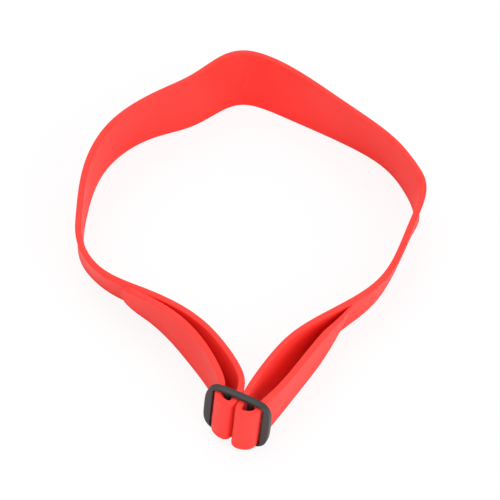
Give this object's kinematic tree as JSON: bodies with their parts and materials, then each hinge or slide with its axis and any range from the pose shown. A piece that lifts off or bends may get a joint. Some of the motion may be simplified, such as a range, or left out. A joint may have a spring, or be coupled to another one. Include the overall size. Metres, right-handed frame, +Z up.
{
  "type": "adjustable silicone strap",
  "caption": "Soft silicone strap in a closed loop, wide at the back and narrow at the front, drawn tight through a plastic slide buckle that holds its free tail.",
  "frame": {"origin": "middle of the part's box on plan, on the surface that the lower edge of the strap stands on", "axes": "+X to the right of the wearer's side view, from the adjusting arm to the fixed arm; +Y from the buckle to the back band, along the length of the loop; +Z up, across the width of the strap"},
  "size_m": [0.1338, 0.1836, 0.0286],
  "materials": {
    "silicone": "smooth moulded silicone with a soft sheen",
    "buckle_plastic": "fine textured moulded plastic"
  },
  "bodies": {
    "band": {"back_band": "silicone", "left_arm": "silicone", "right_arm": "silicone"},
    "front": {"adjusting_run": "silicone", "fixed_loop": "silicone"},
    "buckle": {"slide_buckle": "buckle_plastic"},
    "tail": {"free_tail": "silicone"}
  },
  "joints": [
    {"name": "loop_size", "type": "slide", "parent": "band", "child": "front", "axis": [0, -1, 0], "range_m": [-0.01, 0.015], "deforming": ["left_arm", "right_arm"]},
    {"name": "buckle_rock", "type": "hinge", "parent": "front", "child": "buckle", "pos_m": [-0.00452, -0.08409, 0.01278], "axis": [0.079, -0.0368, 0.9962], "range_deg": [-3, 3]},
    {"name": "tail_slide", "type": "hinge", "parent": "front", "child": "tail", "pos_m": [-0.084, -0.092, 0.0128], "axis": [0, 0, 1], "range_deg": [-23, 15.5], "deforming": ["free_tail"]}
  ],
  "couplings": [
    {"joint": "tail_slide", "follows": "loop_size", "rad_per_m": -26.7}
  ]
}
